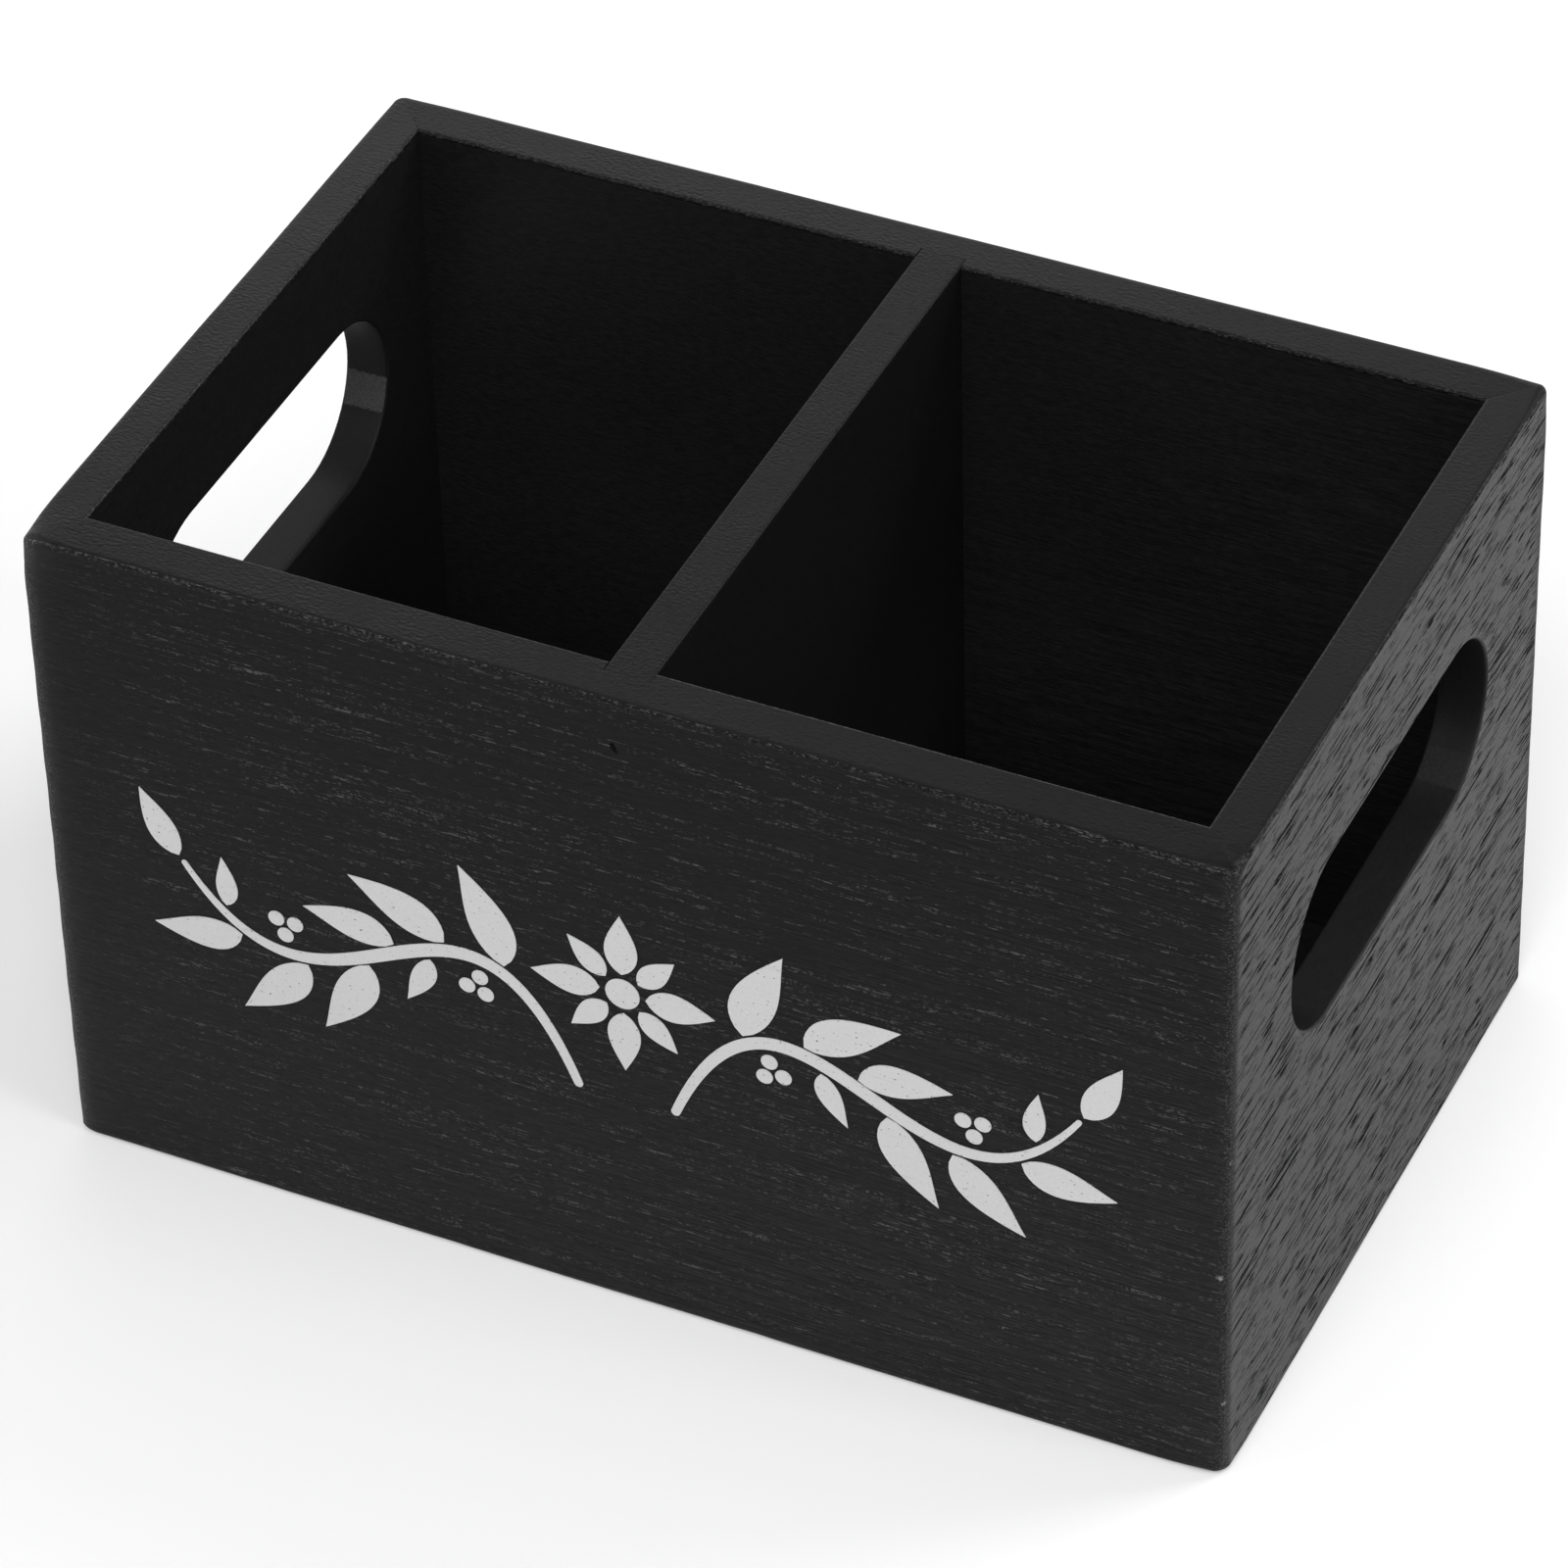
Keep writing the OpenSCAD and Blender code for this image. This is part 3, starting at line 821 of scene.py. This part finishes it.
def carving_tree():
    tree = bpy.data.node_groups.new("carve_grain", "GeometryNodeTree")
    sockets = tree.interface
    sockets.new_socket("Board", in_out="INPUT", socket_type="NodeSocketGeometry")
    sockets.new_socket("Board", in_out="OUTPUT", socket_type="NodeSocketGeometry")
    for name, kind, value in CARVER_INPUTS:
        socket = sockets.new_socket(name, in_out="INPUT", socket_type=kind)
        if value is not None:
            socket.default_value = value
    given = tree.nodes.new("NodeGroupInput").outputs
    place = add(tree, "GeometryNodeInputPosition").outputs[0]
    place = vector_of(tree, "MULTIPLY", place, (1 / MM, 1 / MM, 1 / MM))
    shift = sum_of(tree, "MULTIPLY", given["Seed"], 37.0)
    shift = add(tree, "ShaderNodeCombineXYZ", {0: shift, 1: shift}).outputs[0]
    place = vector_of(tree, "ADD", place, shift)
    per_pore = vector_of(tree, "DIVIDE", place, given["Pore size"])
    cells = add(tree, "ShaderNodeTexVoronoi", {"Vector": per_pore, "Scale": 1.0})
    pore = ramp(tree, cells.outputs["Distance"], 0.1, 0.42, 1.0, 0.0)
    wave = noise(tree, vector_of(tree, "DIVIDE", place, given["Wave size"]), 1).outputs[0]
    depth = sum_of(tree, "MULTIPLY", pore, given["Pore depth"])
    depth = sum_of(tree, "MULTIPLY_ADD", wave, given["Wave depth"], depth)
    mask = add(tree, "GeometryNodeInputNamedAttribute", {"Name": "open_grain"}).outputs[0]
    inward = sum_of(tree, "MULTIPLY", sum_of(tree, "MULTIPLY", depth, mask), -MM)
    normal = add(tree, "GeometryNodeInputNormal").outputs[0]
    scaled = add(tree, "ShaderNodeVectorMath", {0: normal, 3: inward}, operation="SCALE").outputs[0]
    carved = add(tree, "GeometryNodeSetPosition", {"Geometry": given["Board"], "Offset": scaled})
    real = add(tree, "GeometryNodeRealizeInstances", {0: carved.outputs[0]})
    painted = add(tree, "GeometryNodeSetMaterial", {0: real.outputs[0], "Material": given["Paint"]})
    out = tree.nodes.new("NodeGroupOutput")
    tree.links.new(painted.outputs[0], out.inputs[0])
    return tree


carver = carving_tree()
print("carver inputs:", [row[0] for row in CARVER_INPUTS])

# %% Carving one board


def carver_values(axis, seed, paint, depth=0.05):
    return {"Pore size": stretched(*PORE_SIZE, axis), "Pore depth": depth,
            "Wave size": stretched(*WAVE_SIZE, axis), "Seed": seed, "Paint": paint}


def carved_piece(name, mesh, values):
    """Runs the carver on a mesh and returns a plain object with the result."""
    blank = bpy.data.objects.new(name + "_blank", mesh)
    bpy.context.scene.collection.objects.link(blank)
    modifier = blank.modifiers.new("carve", "NODES")
    modifier.node_group = carver
    for socket in carver.interface.items_tree:
        if socket.name in values:
            modifier[socket.identifier] = values[socket.name]
    evaluated = blank.evaluated_get(bpy.context.evaluated_depsgraph_get())
    result = bpy.data.meshes.new_from_object(evaluated)
    result.name = name
    bpy.data.objects.remove(blank)
    piece = bpy.data.objects.new(name, result)
    bpy.context.scene.collection.objects.link(piece)
    return piece


def dress(piece, node):
    """The piece stands for a node of the frame and moves with the box."""
    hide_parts(node)
    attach(piece, "root")
    return piece


print("ready to carve")

# %% [markdown]
# ## The four outer boards
# Front and back are alike, as the two ends are, but each was cut from its own piece of wood, so
# each has its own seed. A board is drawn lying in its own coordinates (along, inward, up) and set
# up by naming the direction it faces. It also carries the layers of numbers that the paint reads,
# which is how a mark gets its place without a picture being wrapped round the board.

# %% Where the marks lie on a board
# Round the rear end of each hole the end grain is torn; the lighter colour of these patches, far
# lighter at the left hole, is painted light.
torn_turns = {"right": (-68, -46), "left": (-36, -14)}
torn_and_lit_tones = {"right": 0.014, "left": 0.045}
chips = [(right - 1.3, front, 37.8), (right, front + 0.5, 58.5), (right - 0.2, front, 14.3)]


def hole_layers(points, thickness, hole_height, rear, torn):
    """1 on a hole's wall, and 1 where the cutter tore the end grain of its rear round end."""
    along, inward, rise = points.T
    along = along * rear
    apart = np.hypot(np.clip(np.abs(along) - straight, 0, None), rise - hole_height)
    wall = (apart < end_radius + 0.05) & (inward > 0.2) & (inward < thickness - 0.2)
    turn = np.degrees(np.arctan2(rise - hole_height, along - straight))
    patch = wall & (along > straight) & (turn > torn[0]) & (turn < torn[1])
    lip_line = np.exp(-(((apart - end_radius) / 1.5) ** 2))
    return wall.astype(float), patch.astype(float), lip_line


def edge_layer(points, half, thickness):
    """1 on the board's outer edges, fading over a millimetre or two."""
    along, inward, rise = points.T
    to_corner, to_top = (half - np.abs(along)) / 1.6, np.minimum(height - rise, rise) / 0.9
    outer = np.exp(-(np.minimum(to_corner, to_top) ** 2)) * (inward < 0.01)
    arris_line = (inward > thickness - 0.5) & (rise > height - 0.5)
    return np.maximum(outer, 0.6 * arris_line)


def painted_edge_glints(points, placed, thickness):
    """Pale colour on two edges of the front, inside at the right and outside at the left: painted
    highlights.
    """
    inward, rise, along_x = points[:, 1], points[:, 2], placed[:, 0]
    inner = (inward > thickness - 0.35) & (rise > height - 0.35) & (along_x > divider_half)
    outer = (inward < 0.05) & (rise > height - 0.05) & (along_x < -20)
    return 0.3 * inner + 0.12 * outer


def board_layers(points, placed, kind, facing, side):
    """The numbers that the paint reads, for each point of a board."""
    along, inward, rise = points.T
    near_end = np.clip((kind.half - np.abs(along)) / 3, 0.25, 1)
    over_brad = (inward < brad_sink + 0.2) & (np.hypot(along, rise - brad_height) < 1.2)
    open_face = (inward < 0.01) | over_brad & (side is None)
    layers = {
        "open_grain": np.where(open_face, near_end, 0.0),
        # Wear down the whole left front edge and round its top corner: the corner is really worn,
        # while the lighter colour down the edge is a painted highlight.
        "worn": 0.5 * near(placed, (left, front, bottom), 3.5, UPRIGHT)
                + 0.5 * near(placed, (left, front, top), 5),
        "edge": edge_layer(points, kind.half, kind.thickness),
        "chipped": sum(near(placed, chip, 0.35) for chip in chips),
        "smudged": near(placed, (right - 3, front + 4, top), 5),
    }
    if facing == (0, -1):
        from_left = placed[:, 0] - left
        layers["filled"] = near_end * np.clip((12 - from_left) / 24 + 0.45, 0, 0.85)
        # The front's two edges get their painted highlights in the same layer as the chips.
        rubbed_and_glints = painted_edge_glints(points, placed, kind.thickness)
        layers["chipped"] = np.maximum(layers["chipped"], rubbed_and_glints)
    if side:
        wall, torn, lip_line = hole_layers(
            points, kind.thickness, hole_heights[side], facing[0], torn_turns[side])
        layers.update(hole_wall=wall, torn_grain=torn)
        layers["torn_tone"] = np.full(len(points), torn_and_lit_tones[side])
        layers["edge"] = np.maximum(layers["edge"], 0.5 * lip_line * (inward < 0.01))
    return layers


print("torn grain at", torn_turns, "degrees round the holes,", len(chips), "chips")

# %% Four outer boards
long_board = SimpleNamespace(
    half=half_length, distance=half_depth, thickness=long_board_t,
    mitre=end_board_t / long_board_t, grain=X_GRAIN, paint=long_paint, pore_depth=0.05)
end_board = SimpleNamespace(
    half=half_depth, distance=half_length, thickness=end_board_t,
    mitre=long_board_t / end_board_t, grain=Y_GRAIN, paint=end_paint, pore_depth=0.02)


def stood_up(points, facing, distance):
    """From a board's own coordinates to the box: facing is the way its outer face looks."""
    fx, fy = facing
    along, inward, rise = points.T
    from_middle = distance - inward
    x, y = -fy * along + fx * from_middle, fx * along + fy * from_middle
    return np.stack([x, y, rise], axis=1)


def outer_board(node, kind, facing, seed, side=None, **cuts):
    points, faces = welded(*board_grids(kind.half, kind.thickness, kind.mitre, **cuts))
    placed = stood_up(points, facing, kind.distance)
    layers = board_layers(points, placed, kind, facing, side)
    mesh = mesh_of(node + "_piece_blank", sanded(placed), faces, **layers)
    values = carver_values(kind.grain, seed, kind.paint, kind.pore_depth)
    return dress(carved_piece(node + "_piece", mesh, values), node)


outer_board("front_board", long_board, (0, -1), 1.0, housing=housing_depth)
outer_board("back_board", long_board, (0, 1), 2.0, housing=housing_depth)
outer_board("right_end_board", end_board, (1, 0), 3.0, "right", hole_height=hole_heights["right"])
outer_board("left_end_board", end_board, (-1, 0), 4.0, "left", hole_height=hole_heights["left"])

# %% [markdown]
# ## Divider
# The divider stands between the compartments with its ends let into front and back. Only its top
# edges are eased. One grid goes up one side, over the top and down the other, a strip closes it
# underneath, and an outline closes each end.

# %% Divider
EASED = 0.3
divider_foot = span("divider")[0][2]


def divider_grids():
    half, side = half_depth - long_board_t + housing_depth - 0.02, divider_half
    s = marks((-half, half, 1.5))
    around = marks((divider_foot, height - 3, 1.4), (height - 3, height, 0.15))
    top = marks((-side, -side + 1, 0.15), (-side + 1, side - 1, 0.5), (side - 1, side, 0.15))
    loop_x = np.concatenate([0 * around - side, top[1:-1], 0 * around + side])
    loop_z = np.concatenate([around, 0 * top[1:-1] + height, around[::-1]])
    skin = grid(loop_x[:, None], s, loop_z[:, None])
    under = grid(np.array([-side, side])[:, None], s, divider_foot)
    for points in (skin, under):
        over = np.clip(np.abs(points[..., 0]) - (side - EASED), 0, None)
        rise = np.clip(points[..., 2] - (height - EASED), 0, None)
        size = np.hypot(over, rise)
        cut = 1 - np.where(size > 0, np.maximum(over, rise) / np.where(size > 0, size, 1), 1)
        points[..., 0] -= np.sign(points[..., 0]) * over * cut
        points[..., 2] -= rise * cut
    return [skin, under], [skin[:, 0], skin[:, -1]]


points, faces = welded(*divider_grids())
divider_mesh = mesh_of("divider_blank", points, faces, open_grain=np.zeros(len(points)))
divider_values = carver_values(Y_GRAIN, 5.0, inner_paint)
dress(carved_piece("divider_piece", divider_mesh, divider_values), "divider")

# %% [markdown]
# ## Bottom panel
# A thin sheet, flat and painted, that nobody sees the edges of. Its construction solid is already
# the right shape, so only its finish changes.

# %% Finish of the bottom panel


def finish_node(node, material):
    for slot in nodes[node].material_slots:
        slot.material = material
    print(node, "gets", material.name)


finish_node("bottom_panel", inner_paint)

# %% [markdown]
# ## Ornament
# Silver-white paint was rolled through a stencil. The film is thin: it is a little mottled, weaker
# along the fibres of the wood, and has a few pinholes where it didn't close over a pore.

# %% Silver-white stencil paint
SILVER_TONES, SILVER_ROUGHNESS = (0.565, 0.61), (0.45, 0.6)


def stencil_paint():
    material = bpy.data.materials.new("silver_white_stencil_paint")
    material.use_nodes = True
    tree = material.node_tree
    shader = tree.nodes["Principled BSDF"]
    place = millimetre_place(tree)
    fibres = streaks(tree, wandering(tree, place, X_GRAIN, long_grain["drift"]), X_GRAIN, 2.6, 0.25)
    grit = noise(tree, place, 2, 3.0).outputs[0]
    pinholes = pores(tree, place, X_GRAIN, (0.55, 0.4), 0.705, grit, 0.02)
    tone = sum_of(tree, "MULTIPLY", ramp(tree, grit, 0.3, 0.7, *SILVER_TONES),
                  ramp(tree, fibres, 0.62, 0.72, 1.0, 0.9))
    tone = sum_of(tree, "MULTIPLY", tone, ramp(tree, pinholes, 0.2, 0.8, 1.0, 0.2))
    tree.links.new(grey(tree, tone), shader.inputs["Base Color"])
    film = sum_of(tree, "MULTIPLY_ADD", fibres, 0.03, sum_of(tree, "MULTIPLY", grit, 0.02))
    film = sum_of(tree, "MULTIPLY_ADD", pinholes, -0.05, film)
    tree.links.new(relief(tree, film), shader.inputs["Normal"])
    roughness = ramp(tree, grit, 0.3, 0.7, *SILVER_ROUGHNESS)
    tree.links.new(roughness, shader.inputs["Roughness"])
    return material


finish_node("front_ornament", stencil_paint())

# %% [markdown]
# ## Brads
# Two small steel nails hold the divider. Their heads were driven below the surface, which left a
# slanting pit in the board, and then painted over with the box. Only a dark dot shows, with a
# little steel where the paint broke.

# %% Painted steel


def painted_steel():
    material = bpy.data.materials.new("brad_steel_painted")
    material.use_nodes = True
    tree = material.node_tree
    shader = tree.nodes["Principled BSDF"]
    patches = noise(tree, millimetre_place(tree), 3, 1.4).outputs[0]
    steel = ramp(tree, patches, 0.56, 0.62)
    tone = ramp(tree, steel, 0, 1, 0.01, 0.4)
    tree.links.new(grey(tree, tone), shader.inputs["Base Color"])
    tree.links.new(steel, shader.inputs["Metallic"])
    tree.links.new(ramp(tree, steel, 0, 1, 0.5, 0.35), shader.inputs["Roughness"])
    return material


finish_node("divider_brads", painted_steel())
